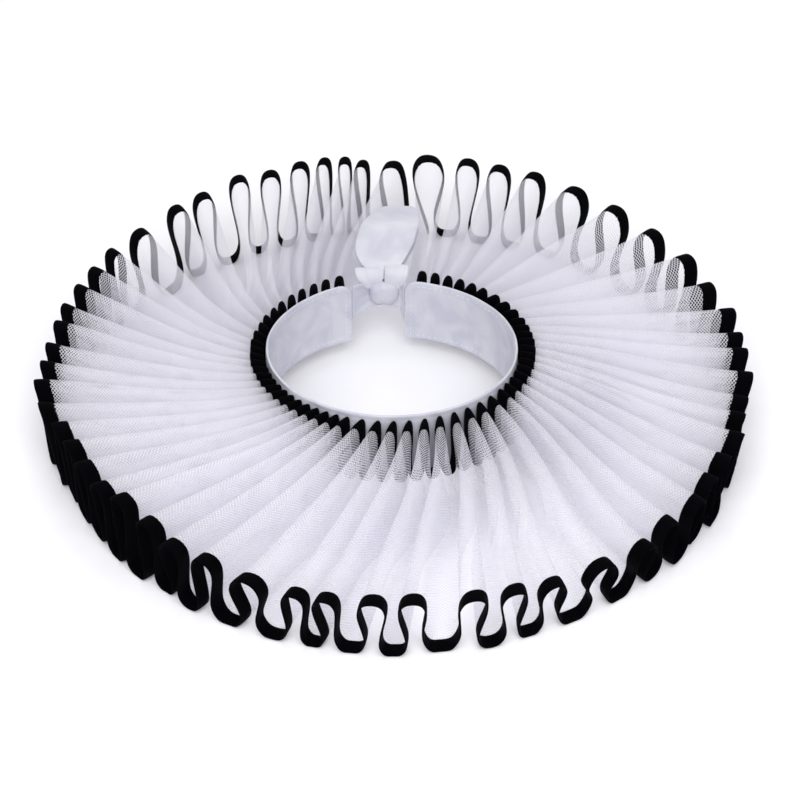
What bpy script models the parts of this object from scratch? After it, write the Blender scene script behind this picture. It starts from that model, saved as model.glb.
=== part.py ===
# Pleated net ruff collar, tied at the nape with a satin bow.
# Metres, +Z up. X is the wearer's side to side and +Y is the nape of the neck.
# The collar rests on the lowest folds of its rim at Z = 0, and X = Y = 0 is the middle of its outline.
import math
import random

import bmesh
import bpy
from mathutils import Vector

# The rim, which stands higher and closer at the nape than at the front, where the pleats have relaxed.
# Degrees from the nape, radius of the crests, height of the crests
RIM_SHAPE = (
    (0.0, 0.1698, 0.0425),
    (6.0, 0.1698, 0.0450),
    (20.0, 0.1702, 0.0455),
    (45.0, 0.1700, 0.0438),
    (60.0, 0.1702, 0.0408),
    (80.0, 0.1712, 0.0400),
    (100.0, 0.1716, 0.0375),
    (120.0, 0.1716, 0.0335),
    (135.0, 0.1714, 0.0290),
    (148.0, 0.1708, 0.0290),
    (162.0, 0.1698, 0.0318),
    (180.0, 0.1696, 0.0340),
    (196.0, 0.1692, 0.0330),
    (206.0, 0.1685, 0.0335),
    (216.0, 0.1675, 0.0365),
    (230.0, 0.1670, 0.0405),
    (248.0, 0.1678, 0.0422),
    (261.0, 0.1732, 0.0425),
    (270.0, 0.1694, 0.0422),
    (285.0, 0.1682, 0.0420),
    (300.0, 0.1685, 0.0430),
    (320.0, 0.1695, 0.0440),
    (335.0, 0.1702, 0.0455),
    (352.0, 0.1700, 0.0448),
    (360.0, 0.1698, 0.0425),
)
RIM_MIDDLE = (-0.00086, 0.00055)
TROUGH_SET_IN = 0.0040
# How far a fold's sides lie from its middle in height, as a share of its half width
RIM_SHOULDER = 1.0
NET_WALL = 0.0010
VELVET_WALL = 0.0012
RIBBON_WIDTH = 0.0080
SEAM = 0.0003
# How far a fold's sides lie from its middle towards the next fold, as a share of TROUGH_SET_IN
SIDE_SET_IN = 0.25

# The neck edge of the pleats, which stands just clear of the neckband
NECK_CREST_Z = 0.0440
NECK_TILT = 0.0012
NECK_TROUGH_Z = 0.0130
NECK_SHOULDER = 0.0030
NECK_GAP = 0.0004
# The pleats leave the neckband leaning: this share of the way from square to straight at the rim
NECK_LEAN = 0.35

# The neckband
BAND_MIDDLE = (-0.0018, -0.0010)
BAND_HALF_X = 0.0596
BAND_HALF_Y = 0.0535
BAND_WALL = 0.0016
BAND_TOP_Z = 0.0450
BAND_BOTTOM_Z = 0.0095
BAND_CORNER = 0.0060
BAND_COLUMNS = 52
BAND_ROWS = (0.0, 0.5, 1.0)
# Places across a rounded corner, as shares of its radius from the band's end
CORNER_PLACES = (0.0, 0.10, 0.35, 0.65)

# The opening at the nape, in degrees from the nape, turning from the nape to the wearer's right (+X)
BAND_START, BAND_END = 6.2, 342.7
NECK_START, NECK_END = 10.3, 337.0
RIM_START, RIM_END = 6.7, 363.1
FIRST_CREST, LAST_CREST = 6.2, 359.8
NECK_FIRST_CREST, NECK_LAST_CREST = 13.5, 334.0

# Pleats, stretch by stretch: end of the stretch in degrees at the rim and at the neck, number of pleats
STRETCHES = (
    (44.0, 42.0, 5),
    (79.5, 68.5, 4),
    (138.5, 125.5, 11),
    (216.0, 199.0, 11),
    (299.0, 271.5, 15),
    (336.2, 301.5, 5),
    (LAST_CREST, NECK_LAST_CREST, 5),
)
# Widths of the pleats of the stretches that are seen best, as shares of their mean
SEEN_WIDTHS = {
    0: (0.97, 0.84, 0.85, 1.12, 1.22),
    1: (1.17, 1.02, 0.94, 0.87),
    3: (1.19, 1.30, 0.86, 0.93, 1.22, 0.87, 0.96, 0.73, 1.06, 1.13, 0.81),
    5: (1.08, 1.29, 0.84, 1.02, 0.77),
    6: (1.26, 1.08, 0.78, 0.74, 1.14),
}
# How much of a pleat's spacing the folds take, from the middle of the fold to its side
RIM_SIDE, RIM_TIP = 0.330, 0.165
NECK_SIDE, NECK_TIP = 0.320, 0.150
END_SIDE_DEGREES = {"first": 2.9, "last": 2.1}

# Unevenness of the hand-set pleats
WIDTH_UNEVEN = 0.13
LEAN_UNEVEN = 0.06
RADIUS_UNEVEN = 0.0015
CREST_UNEVEN = 0.0014
SPACING_SEED, FOLD_SEED = 58, 17
# A trough's height is drawn from -TROUGH_REST to 1 times the lift, and those drawn below 0 rest on the table
TROUGH_LIFT, TROUGH_REST = 0.0016, 1.6
# What ends up lower than this is trimmed level with the table
FLOOR_TRIM = 0.00015

# Places along a pleat, from the neck edge's ribbon to the rim's, where the net has a ring of points
NET_RINGS = (0.0, 0.5, 1.0)
NET_SAG = 0.0012

# The knot at the nape: middle, and half its size
KNOT_MIDDLE = (-0.0060, 0.0535, 0.0372)
KNOT_HALF = (0.0066, 0.0048, 0.0070)
KNOT_TURNS, KNOT_RINGS = 14, 9
KNOT_SQUARE = 0.18

SATIN_WALL = 0.0012
TIE_COLUMNS = 5

# The ribbon ties run from the ends of the neckband to the knot.
# Share of the way, half height, height of the middle above the table, bulge to the back
TIE_LEFT = (
    (0.00, 0.0100, 0.0335, 0.0000),
    (0.35, 0.0092, 0.0345, 0.0012),
    (0.70, 0.0070, 0.0362, 0.0016),
    (1.00, 0.0052, 0.0372, 0.0012),
)
TIE_RIGHT = (
    (0.00, 0.0112, 0.0315, 0.0000),
    (0.35, 0.0100, 0.0330, 0.0010),
    (0.70, 0.0074, 0.0352, 0.0014),
    (1.00, 0.0052, 0.0368, 0.0010),
)

# Bow pieces that lie back over the pleats, a row for each station along the ribbon.
# Distance to the back (Y), middle (X), half width, height (Z), rise of the middle over the sides
BOW_LOOP = (
    (0.0565, -0.0068, 0.0030, 0.0437, 0.0000),
    (0.0592, -0.0070, 0.0058, 0.0458, 0.0002),
    (0.0640, -0.0070, 0.0100, 0.0490, 0.0005),
    (0.0720, -0.0055, 0.0140, 0.0506, 0.0010),
    (0.0860, -0.0030, 0.0145, 0.0506, 0.0010),
    (0.0990, 0.0000, 0.0110, 0.0504, 0.0006),
    (0.1050, 0.0008, 0.0080, 0.0506, 0.0004),
    (0.1072, 0.0010, 0.0072, 0.0522, 0.0004),
    (0.1060, 0.0010, 0.0078, 0.0540, 0.0006),
    (0.0990, 0.0000, 0.0115, 0.0554, 0.0012),
    (0.0860, -0.0030, 0.0150, 0.0566, 0.0018),
    (0.0720, -0.0055, 0.0145, 0.0560, 0.0020),
    (0.0640, -0.0070, 0.0105, 0.0538, 0.0012),
    (0.0590, -0.0070, 0.0070, 0.0505, 0.0005),
    (0.0560, -0.0066, 0.0040, 0.0475, 0.0002),
    (0.0537, -0.0065, 0.0027, 0.0453, 0.0000),
)
BOW_TAIL = (
    (0.0592, -0.0095, 0.0036, 0.0372, 0.0000),
    (0.0597, -0.0100, 0.0044, 0.0405, 0.0000),
    (0.0614, -0.0110, 0.0058, 0.0438, 0.0002),
    (0.0650, -0.0125, 0.0074, 0.0466, 0.0003),
    (0.0720, -0.0135, 0.0088, 0.0480, 0.0003),
    (0.0790, -0.0125, 0.0090, 0.0482, 0.0002),
    (0.0890, -0.0115, 0.0092, 0.0480, 0.0001),
)
BOW_FOLD_LEFT = (
    (0.0530, -0.0127, 0.0022, 0.0437, 0.0000),
    (0.0530, -0.0136, 0.0036, 0.0455, 0.0001),
    (0.0532, -0.0144, 0.0050, 0.0480, 0.0002),
    (0.0545, -0.0150, 0.0060, 0.0503, 0.0003),
    (0.0560, -0.0153, 0.0063, 0.0517, 0.0004),
    (0.0576, -0.0153, 0.0062, 0.0524, 0.0004),
)
BOW_FOLD_RIGHT = (
    (0.0530, 0.0002, 0.0022, 0.0434, 0.0000),
    (0.0531, 0.0014, 0.0036, 0.0455, 0.0001),
    (0.0533, 0.0026, 0.0050, 0.0480, 0.0002),
    (0.0545, 0.0036, 0.0062, 0.0500, 0.0003),
    (0.0561, 0.0044, 0.0066, 0.0511, 0.0004),
    (0.0577, 0.0048, 0.0064, 0.0517, 0.0004),
)
BOW_COLUMNS = 5

# Colour and roughness of each cloth
NET_FINISH = ((0.80, 0.80, 0.87), 0.75)
VELVET_FINISH = ((0.006, 0.006, 0.010), 0.85)
SATIN_FINISH = ((0.74, 0.74, 0.84), 0.45)

# Edges sharper than this stay crisp, and a wall thickens at most this much on the outside of a bend
SHARP_DEGREES = 40.0
LEAST_COSINE = 0.6


def clear_scene():
    for obj in list(bpy.data.objects):
        bpy.data.objects.remove(obj)


def make_material(name, finish):
    colour, roughness = finish
    material = bpy.data.materials.new(name)
    material.use_nodes = True
    shader = material.node_tree.nodes["Principled BSDF"]
    shader.inputs["Base Color"].default_value = (*colour, 1.0)
    shader.inputs["Roughness"].default_value = roughness
    shader.inputs["Metallic"].default_value = 0.0
    return material


def on_ellipse(middle, half_x, half_y, degrees):
    """A point of a level ellipse, at an angle from the nape that turns towards +X."""
    turn = math.radians(degrees)
    return Vector((middle[0] + half_x * math.sin(turn), middle[1] + half_y * math.cos(turn), 0.0))


def finish_body(name, mesh_data, material):
    """Makes the object of a closed mesh, with its faces turned out."""
    bmesh.ops.recalc_face_normals(mesh_data, faces=mesh_data.faces)
    mesh = bpy.data.meshes.new(name)
    mesh_data.to_mesh(mesh)
    mesh_data.free()
    mesh.materials.append(material)
    mesh.shade_smooth()
    mesh.set_sharp_from_angle(angle=math.radians(SHARP_DEGREES))
    obj = bpy.data.objects.new(name, mesh)
    bpy.context.scene.collection.objects.link(obj)
    return obj


def side_step(rows, row, column, ends_along):
    """Half the wall's thickness points this way and this far, so that a bent wall stays evenly thick."""
    line = rows[row]
    here = line[column]
    if ends_along and row in (0, len(rows) - 1):
        along = ends_along[0 if row == 0 else 1][column]
    else:
        along = rows[min(row + 1, len(rows) - 1)][column] - rows[max(row - 1, 0)][column]
    steps = []
    if column > 0:
        steps.append((here - line[column - 1]).cross(along).normalized())
    if column < len(line) - 1:
        steps.append((line[column + 1] - here).cross(along).normalized())
    middle = sum(steps, Vector()).normalized()
    return middle / max(middle.dot(steps[0]), LEAST_COSINE)


def cloth_wall(name, rows, thickness, material, ends_along=None, on_table=False):
    """A closed wall of even thickness round the sheet whose points are given row by row.

    ends_along holds the ways in which the columns run on past the first row and past the last, where the
    wall meets its neighbour at a seam, so that both end in parallel faces.
    """
    body = bmesh.new()
    skins = []
    for half in (0.5 * thickness, -0.5 * thickness):
        skin = []
        for row, line in enumerate(rows):
            points = []
            for column, point in enumerate(line):
                place = point + side_step(rows, row, column, ends_along) * half
                if on_table and place.z < FLOOR_TRIM:
                    place.z = 0.0
                points.append(body.verts.new(place))
            skin.append(points)
        skins.append(skin)
    last_row, last_column = len(rows) - 1, len(rows[0]) - 1
    for side, skin in enumerate(skins):
        for row in range(last_row):
            for column in range(last_column):
                corners = [
                    skin[row][column],
                    skin[row][column + 1],
                    skin[row + 1][column + 1],
                    skin[row + 1][column],
                ]
                if side:
                    body.faces.new((corners[2], corners[1], corners[0]))
                    body.faces.new((corners[3], corners[2], corners[0]))
                else:
                    body.faces.new(corners[:3])
                    body.faces.new((corners[0], corners[2], corners[3]))
    upper, lower = skins
    border = [(0, column) for column in range(last_column)]
    border += [(row, last_column) for row in range(last_row)]
    border += [(last_row, column) for column in range(last_column, 0, -1)]
    border += [(row, 0) for row in range(last_row, 0, -1)]
    for index, (row, column) in enumerate(border):
        next_row, next_column = border[(index + 1) % len(border)]
        body.faces.new((upper[next_row][next_column], upper[row][column], lower[row][column]))
        body.faces.new((upper[next_row][next_column], lower[row][column], lower[next_row][next_column]))
    return finish_body(name, body, material)


def pleat_spacings():
    """Degrees between one crest and the next at the rim and at the neck, all the way round."""
    draw = random.Random(SPACING_SEED)
    spacings = []
    start, neck_start = FIRST_CREST, NECK_FIRST_CREST
    for index, (end, neck_end, pleats) in enumerate(STRETCHES):
        if index in SEEN_WIDTHS:
            shares = list(SEEN_WIDTHS[index])
        else:
            shares = [1.0 + WIDTH_UNEVEN * draw.uniform(-1.0, 1.0) for _ in range(pleats)]
        mean = (end - start) / sum(shares)
        spacings += [(share * mean, (neck_end - neck_start) / pleats) for share in shares]
        start, neck_start = end, neck_end
    return spacings


def rim_shape(degrees):
    """Radius and height of the crests at an angle, between the rows of the table."""
    turn = degrees % 360.0
    for (start, *here), (end, *after) in zip(RIM_SHAPE, RIM_SHAPE[1:]):
        if turn <= end:
            share = (turn - start) / (end - start)
            return [a + (b - a) * share for a, b in zip(here, after)]


def folds():
    """Every crest and trough in turn, with its place and half widths at the rim and at the neck."""
    draw = random.Random(FOLD_SEED)
    spacings = pleat_spacings()
    found = []
    rim, neck = FIRST_CREST, NECK_FIRST_CREST
    for index in range(len(spacings) + 1):
        before, neck_before = spacings[max(index - 1, 0)]
        after, neck_after = spacings[min(index, len(spacings) - 1)]
        width = 0.5 * (before + after)
        neck_width = min(neck_before, neck_after)
        inner = 0 < index < len(spacings)
        lean = LEAN_UNEVEN * width * draw.uniform(-1.0, 1.0) if inner else 0.0
        side = RIM_SIDE * min(before, after, width)
        radius, height = rim_shape(rim + lean)
        trough_radius = rim_shape(rim + 0.5 * after)[0] - TROUGH_SET_IN
        if index == 0:
            side = END_SIDE_DEGREES["first"]
        if index == len(spacings):
            side = END_SIDE_DEGREES["last"]
        found.append({
            "crest": True,
            "rim": rim + lean,
            "neck": neck,
            "rim_side": side,
            "rim_tip": side * RIM_TIP / RIM_SIDE,
            "neck_side": NECK_SIDE * neck_width,
            "neck_tip": NECK_TIP * neck_width,
            "radius": radius + RADIUS_UNEVEN * draw.uniform(-1.0, 1.0),
            "rim_z": height + CREST_UNEVEN * draw.uniform(-1.0, 1.0),
        })
        if index == len(spacings):
            break
        found.append({
            "crest": False,
            "rim": rim + 0.5 * after,
            "neck": neck + 0.5 * neck_after,
            "rim_side": RIM_SIDE * after,
            "rim_tip": RIM_TIP * after,
            "neck_side": NECK_SIDE * neck_after,
            "neck_tip": NECK_TIP * neck_after,
            "radius": trough_radius + RADIUS_UNEVEN * draw.uniform(-1.0, 1.0),
            "rim_z": max(0.0, TROUGH_LIFT * draw.uniform(-TROUGH_REST, 1.0)),
        })
        rim += after
        neck += neck_after
    return found


def pleat_lines():
    """Neck point and rim point of each line of the pleated strip: four lines to a fold, one at each end."""
    neck_half_x = BAND_HALF_X + BAND_WALL + NECK_GAP
    neck_half_y = BAND_HALF_Y + BAND_WALL + NECK_GAP
    floor_z = 0.5 * VELVET_WALL

    def line(neck_degrees, rim_degrees, neck_z, rim_z, radius):
        neck = on_ellipse(BAND_MIDDLE, neck_half_x, neck_half_y, neck_degrees)
        rim = on_ellipse(RIM_MIDDLE, radius, radius, rim_degrees)
        neck.z = neck_z
        rim.z = rim_z
        return neck, rim

    first, last = (rim_shape(end)[0] - TROUGH_SET_IN for end in (RIM_START, RIM_END))
    lines = [line(NECK_START, RIM_START, NECK_TROUGH_Z, floor_z, first)]
    for fold in folds():
        drop = RIM_SHOULDER * fold["radius"] * math.radians(fold["rim_side"])
        if fold["crest"]:
            tilt = NECK_TILT * math.cos(math.radians(fold["neck"]))
            down, neck_z, rim_z = 1.0, NECK_CREST_Z + tilt, fold["rim_z"]
        else:
            down, neck_z, rim_z = -1.0, NECK_TROUGH_Z, floor_z + fold["rim_z"]
        for kind, side in (("side", -1.0), ("tip", -1.0), ("tip", 1.0), ("side", 1.0)):
            shoulder = down if kind == "side" else 0.0
            lines.append(line(
                fold["neck"] + side * fold["neck_" + kind],
                fold["rim"] + side * fold["rim_" + kind],
                neck_z - shoulder * NECK_SHOULDER,
                rim_z - shoulder * drop,
                fold["radius"] - shoulder * SIDE_SET_IN * TROUGH_SET_IN,
            ))
    lines.append(line(NECK_END, RIM_END, NECK_TROUGH_Z, floor_z, last))
    return lines


def rim_ways(lines):
    """The level way from neck to rim of each line."""
    return [Vector((rim.x - neck.x, rim.y - neck.y, 0.0)).normalized() for neck, rim in lines]


def neck_ways(lines):
    """The level way in which each line leaves the neckband, between square to it and straight at the rim."""
    ways = []
    for (neck, _), straight in zip(lines, rim_ways(lines)):
        across = (neck.x - BAND_MIDDLE[0]) / BAND_HALF_X ** 2
        back = (neck.y - BAND_MIDDLE[1]) / BAND_HALF_Y ** 2
        square = Vector((across, back, 0.0)).normalized()
        ways.append(square.lerp(straight, NECK_LEAN).normalized())
    return ways


def rows_from_neck(lines, *distances):
    """A row of points across the pleats at each distance from the neck edge."""
    return [[neck + out * far for (neck, _), out in zip(lines, neck_ways(lines))] for far in distances]


def rows_from_rim(lines, *distances):
    """A row of points across the pleats at each distance in from the rim."""
    return [[rim - out * far for (_, rim), out in zip(lines, rim_ways(lines))] for far in distances]


def net_rows(lines):
    """Rows of the net between the two ribbons. The crests sag a little between neck and rim."""
    first = rows_from_neck(lines, RIBBON_WIDTH + SEAM)[0]
    last = rows_from_rim(lines, RIBBON_WIDTH + SEAM)[0]
    rows = []
    for share in NET_RINGS:
        row = []
        for start, end in zip(first, last):
            point = start.lerp(end, share)
            point.z -= NET_SAG * math.sin(math.pi * share) * (start.z / NECK_CREST_Z)
            row.append(point)
        rows.append(row)
    return rows


def make_ruffle(net, velvet):
    lines = pleat_lines()
    at_neck, at_rim = neck_ways(lines), rim_ways(lines)
    neck_rows = rows_from_neck(lines, 0.0, RIBBON_WIDTH)
    rim_rows = rows_from_rim(lines, RIBBON_WIDTH, 0.0)
    cloth_wall("ruffle_net", net_rows(lines), NET_WALL, net, ends_along=(at_neck, at_rim))
    cloth_wall("neck_ribbon", neck_rows, VELVET_WALL, velvet, ends_along=(at_neck, at_neck))
    cloth_wall("rim_ribbon", rim_rows, VELVET_WALL, velvet, ends_along=(at_rim, at_rim), on_table=True)


def make_neckband(satin):
    """An upright band round the neck, open at the nape, with rounded upper corners."""
    half_x = BAND_HALF_X + 0.5 * BAND_WALL
    half_y = BAND_HALF_Y + 0.5 * BAND_WALL
    radius = 0.5 * (half_x + half_y)
    corner_degrees = math.degrees(BAND_CORNER / radius)
    places = [BAND_START + corner_degrees * share for share in CORNER_PLACES]
    inner_start = BAND_START + corner_degrees
    inner_end = BAND_END - corner_degrees
    places += [
        inner_start + (inner_end - inner_start) * index / BAND_COLUMNS for index in range(BAND_COLUMNS + 1)
    ]
    places += [BAND_END - corner_degrees * share for share in reversed(CORNER_PLACES)]
    rows = []
    for share in BAND_ROWS:
        row = []
        for degrees in places:
            point = on_ellipse(BAND_MIDDLE, half_x, half_y, degrees)
            from_end = min(degrees - BAND_START, BAND_END - degrees) / corner_degrees
            cut = BAND_CORNER * (1.0 - math.sqrt(max(0.0, 1.0 - (1.0 - min(from_end, 1.0)) ** 2)))
            point.z = BAND_BOTTOM_Z + (BAND_TOP_Z - cut - BAND_BOTTOM_Z) * share
            row.append(point)
        rows.append(row)
    cloth_wall("neckband", rows, BAND_WALL, satin)


def make_tie(name, table, band_degrees, toward, satin):
    """A gathered ribbon from one end of the neckband to the knot."""
    half_x = BAND_HALF_X + 0.5 * BAND_WALL
    half_y = BAND_HALF_Y + 0.5 * BAND_WALL
    start = on_ellipse(BAND_MIDDLE, half_x, half_y, band_degrees)
    start.x += toward * 2.0 * SEAM
    end = Vector((KNOT_MIDDLE[0] - toward * (KNOT_HALF[0] + SEAM), KNOT_MIDDLE[1], 0.0))
    rows = []
    for share, half_height, middle_z, bulge in table:
        base = start.lerp(end, share)
        row = []
        for column in range(TIE_COLUMNS):
            across = 2.0 * column / (TIE_COLUMNS - 1) - 1.0
            row.append(Vector((base.x, base.y + bulge * (1.0 - across ** 2), middle_z + half_height * across)))
        rows.append(row)
    cloth_wall(name, rows, SATIN_WALL, satin)


def make_knot(satin):
    """A tight knot, fuller in its middle and flattened to the back."""
    body = bmesh.new()
    bmesh.ops.create_uvsphere(body, u_segments=KNOT_TURNS, v_segments=KNOT_RINGS, radius=1.0)
    for vert in body.verts:
        x, y, z = vert.co
        # The sides are squared off a little, as a wrapped ribbon's are.
        square = 1.0 + KNOT_SQUARE * abs(x * z)
        vert.co = Vector(KNOT_MIDDLE) + Vector((
            x * KNOT_HALF[0] * square,
            y * KNOT_HALF[1],
            z * KNOT_HALF[2] * square,
        ))
    finish_body("tie_knot", body, satin)


def make_bow_piece(name, table, satin):
    """A piece of ribbon that follows a table of stations, crowned across its width."""
    rows = []
    for back, middle, half_width, height, rise in table:
        row = []
        for column in range(BOW_COLUMNS):
            across = 2.0 * column / (BOW_COLUMNS - 1) - 1.0
            row.append(Vector((middle + half_width * across, back, height + rise * (1.0 - across ** 2))))
        rows.append(row)
    cloth_wall(name, rows, SATIN_WALL, satin)


def main():
    clear_scene()
    net = make_material("net", NET_FINISH)
    velvet = make_material("velvet", VELVET_FINISH)
    satin = make_material("satin", SATIN_FINISH)
    make_ruffle(net, velvet)
    make_neckband(satin)
    make_tie("tie_right", TIE_RIGHT, BAND_START, -1.0, satin)
    make_tie("tie_left", TIE_LEFT, BAND_END, 1.0, satin)
    make_knot(satin)
    make_bow_piece("bow_loop", BOW_LOOP, satin)
    make_bow_piece("bow_tail", BOW_TAIL, satin)
    make_bow_piece("bow_fold_left", BOW_FOLD_LEFT, satin)
    make_bow_piece("bow_fold_right", BOW_FOLD_RIGHT, satin)


main()
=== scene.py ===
import math
import random

import bmesh
import bpy
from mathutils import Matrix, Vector, noise


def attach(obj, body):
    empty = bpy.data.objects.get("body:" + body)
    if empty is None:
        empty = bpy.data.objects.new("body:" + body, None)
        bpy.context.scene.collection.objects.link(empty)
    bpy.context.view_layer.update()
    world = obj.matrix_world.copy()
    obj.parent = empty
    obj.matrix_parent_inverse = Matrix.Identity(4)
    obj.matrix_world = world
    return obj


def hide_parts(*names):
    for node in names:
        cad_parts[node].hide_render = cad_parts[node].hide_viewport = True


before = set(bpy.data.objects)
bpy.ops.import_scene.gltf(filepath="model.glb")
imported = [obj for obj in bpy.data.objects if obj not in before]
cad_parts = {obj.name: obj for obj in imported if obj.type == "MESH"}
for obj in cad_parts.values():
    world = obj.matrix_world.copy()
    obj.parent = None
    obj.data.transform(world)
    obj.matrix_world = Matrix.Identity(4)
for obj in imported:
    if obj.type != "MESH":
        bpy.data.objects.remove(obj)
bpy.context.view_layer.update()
print("frame loaded:", len(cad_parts), "solids")


def linearColour(code):
    # an sRGB hex code as the linear colour that the shaders take
    parts = [int(code[i:i + 2], 16) / 255.0 for i in (1, 3, 5)]
    return tuple(p / 12.92 if p <= 0.04045 else ((p + 0.055) / 1.055) ** 2.4 for p in parts) + (1.0,)


def addNode(tree, kind, settings=None, links=None):
    # settings go to inputs by name or number, or else to the node itself
    node = tree.nodes.new(kind)
    for key, value in (settings or {}).items():
        if isinstance(key, str) and hasattr(node, key):
            setattr(node, key, value)
    for key, value in (settings or {}).items():
        if not (isinstance(key, str) and hasattr(node, key)):
            node.inputs[key].default_value = value
    for key, socket in (links or {}).items():
        tree.links.new(socket, node.inputs[key])
    return node


def startMaterial(name, values):
    material = bpy.data.materials.new(name)
    material.use_nodes = True
    tree = material.node_tree
    shader = tree.nodes["Principled BSDF"]
    for key, value in values.items():
        shader.inputs[key].default_value = value
    return material, tree, shader


def clothPlace(tree, pitch, turn=0.0):
    # the cloth's own measure in metres, counted in pitches
    uv = addNode(tree, "ShaderNodeUVMap", {"uv_map": "cloth"})
    size = 1.0 / pitch
    return addNode(tree, "ShaderNodeMapping", {
        "Scale": (size, size, size), "Rotation": (0.0, 0.0, turn),
    }, {"Vector": uv.outputs["UV"]}).outputs["Vector"]


def mixColours(tree, factor, first, second):
    mix = addNode(tree, "ShaderNodeMix", {"data_type": "RGBA"}, {0: factor})
    mix.inputs[6].default_value = linearColour(first)
    mix.inputs[7].default_value = linearColour(second)
    return mix.outputs[2]


# Blender's wave texture repeats about every 0.314 of its space at scale 1.
wavePeriod = 0.314

# Nylon tulle, stiffened: a fine diamond mesh of round matt threads. One layer greys what is behind it,
# and a few layers look solid. Its threads are round, so light comes through them as well as off them.
tulle = {
    "thread": "#F9F8FD",
    "shade": "#F2F1F9",
    "throughShare": 0.45,   # of the light that meets a round thread, what leaves on its far side
    "pitch": 0.00112,
    "turn": 45.0,           # degrees between the threads and the strip, so the mesh stands as diamonds
    "threadShare": 0.22,    # of the pitch
    "softShare": 0.35,      # of the thread, over which its edge fades
    "holeCover": 0.04,      # fibres across the holes
    "threadCover": 0.95,
    "waver": 0.48,          # of a pitch, how far threads stray over the whole range of the noise
    "waverSize": 9.0,       # pitches
    "cloudSize": 0.035,
}


def tulleMaterial():
    material, tree, shader = startMaterial("stiffNylonTulle", {
        "Roughness": 0.62,
        "IOR": 1.53,
        "Specular IOR Level": 0.3,
        "Sheen Weight": 0.25,
        "Sheen Roughness": 0.5,
    })
    place = clothPlace(tree, tulle["pitch"], math.radians(tulle["turn"]))
    stray = addNode(tree, "ShaderNodeTexNoise", {
        "Scale": 1.0 / tulle["waverSize"], "Detail": 0.0,
    }, {"Vector": place})
    centred = addNode(tree, "ShaderNodeVectorMath", {
        "operation": "SUBTRACT", 1: (0.5, 0.5, 0.5),
    }, {0: stray.outputs["Color"]})
    scaled = addNode(tree, "ShaderNodeVectorMath", {
        "operation": "SCALE", "Scale": tulle["waver"],
    }, {0: centred.outputs["Vector"]})
    moved = addNode(tree, "ShaderNodeVectorMath", {"operation": "ADD"}, {
        0: place, 1: scaled.outputs["Vector"],
    })
    axes = addNode(tree, "ShaderNodeSeparateXYZ", {}, {0: moved.outputs["Vector"]})
    half = 0.5 * tulle["threadShare"]
    threads = []
    for axis in ("X", "Y"):
        across = addNode(tree, "ShaderNodeMath", {
            "operation": "PINGPONG", 1: 0.5,
        }, {0: axes.outputs[axis]})
        threads.append(addNode(tree, "ShaderNodeMapRange", {
            "From Min": half * (1.0 + tulle["softShare"]),
            "From Max": half * (1.0 - tulle["softShare"]),
        }, {"Value": across.outputs[0]}).outputs["Result"])
    mesh = addNode(tree, "ShaderNodeMath", {"operation": "MAXIMUM"}, {0: threads[0], 1: threads[1]})
    cover = addNode(tree, "ShaderNodeMapRange", {
        "To Min": tulle["holeCover"], "To Max": tulle["threadCover"],
    }, {"Value": mesh.outputs[0]})
    tree.links.new(cover.outputs["Result"], shader.inputs["Alpha"])
    spot = addNode(tree, "ShaderNodeTexCoord")
    cloud = addNode(tree, "ShaderNodeTexNoise", {
        "Scale": 1.0 / tulle["cloudSize"], "Detail": 0.0,
    }, {"Vector": spot.outputs["Object"]})
    tree.links.new(mixColours(tree, cloud.outputs["Fac"], tulle["thread"], tulle["shade"]),
                   shader.inputs["Base Color"])
    through = addNode(tree, "ShaderNodeBsdfTranslucent", {"Color": linearColour(tulle["thread"])})
    hole = addNode(tree, "ShaderNodeBsdfTransparent")
    lit = addNode(tree, "ShaderNodeMixShader", {}, {
        0: cover.outputs["Result"], 1: hole.outputs[0], 2: through.outputs[0],
    })
    both = addNode(tree, "ShaderNodeMixShader", {0: tulle["throughShare"]}, {
        1: shader.outputs[0], 2: lit.outputs[0],
    })
    tree.links.new(both.outputs[0], tree.nodes["Material Output"].inputs["Surface"])
    return material


# Velvet ribbon: short upright black pile on a woven ground. It drinks light face on and shows a faint
# grey bloom where the pile is seen from the side, from its sheen. Its colour also has a painted sheen:
# tufts and brushed patches are painted a little lighter. Pile tufts are about 0.3 mm, drawn at 0.5 mm.
velvet = {
    "deep": "#010102",
    # the lighter colour of the painted sheen on tufts and brushed patches
    "paintedSheen": "#050509",
    "sheen": "#8C8CA6",
    "tuft": 0.0005,
    "brushed": 0.012,       # patches where the pile lies one way
}


def velvetMaterial():
    material, tree, shader = startMaterial("blackVelvetRibbon", {
        "IOR": 1.5,
        "Specular IOR Level": 0.03,
        "Sheen Weight": 0.03,
        "Sheen Roughness": 0.38,
        "Sheen Tint": linearColour(velvet["sheen"]),
    })
    spot = addNode(tree, "ShaderNodeTexCoord").outputs["Object"]
    pile = addNode(tree, "ShaderNodeTexNoise", {
        "Scale": 1.0 / velvet["tuft"], "Detail": 2.0,
    }, {"Vector": spot})
    brushed = addNode(tree, "ShaderNodeTexNoise", {
        "Scale": 1.0 / velvet["brushed"], "Detail": 3.0,
    }, {"Vector": spot})
    both = addNode(tree, "ShaderNodeMath", {"operation": "MULTIPLY"}, {
        0: pile.outputs["Fac"], 1: brushed.outputs["Fac"],
    })
    # painted sheen: tufts and brushed patches get the lighter colour, standing in for pile that catches
    # the light
    paintedSheen = addNode(tree, "ShaderNodeMapRange", {
        "From Min": 0.12, "From Max": 0.45,
    }, {"Value": both.outputs[0]})
    tree.links.new(mixColours(tree, paintedSheen.outputs["Result"], velvet["deep"], velvet["paintedSheen"]),
                   shader.inputs["Base Color"])
    rough = addNode(tree, "ShaderNodeMapRange", {
        "To Min": 0.82, "To Max": 0.98,
    }, {"Value": brushed.outputs["Fac"]})
    tree.links.new(rough.outputs["Result"], shader.inputs["Roughness"])
    bump = addNode(tree, "ShaderNodeBump", {
        "Strength": 0.6, "Distance": 0.0002,
    }, {"Height": pile.outputs["Fac"]})
    tree.links.new(bump.outputs["Normal"], shader.inputs["Normal"])
    return material
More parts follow.
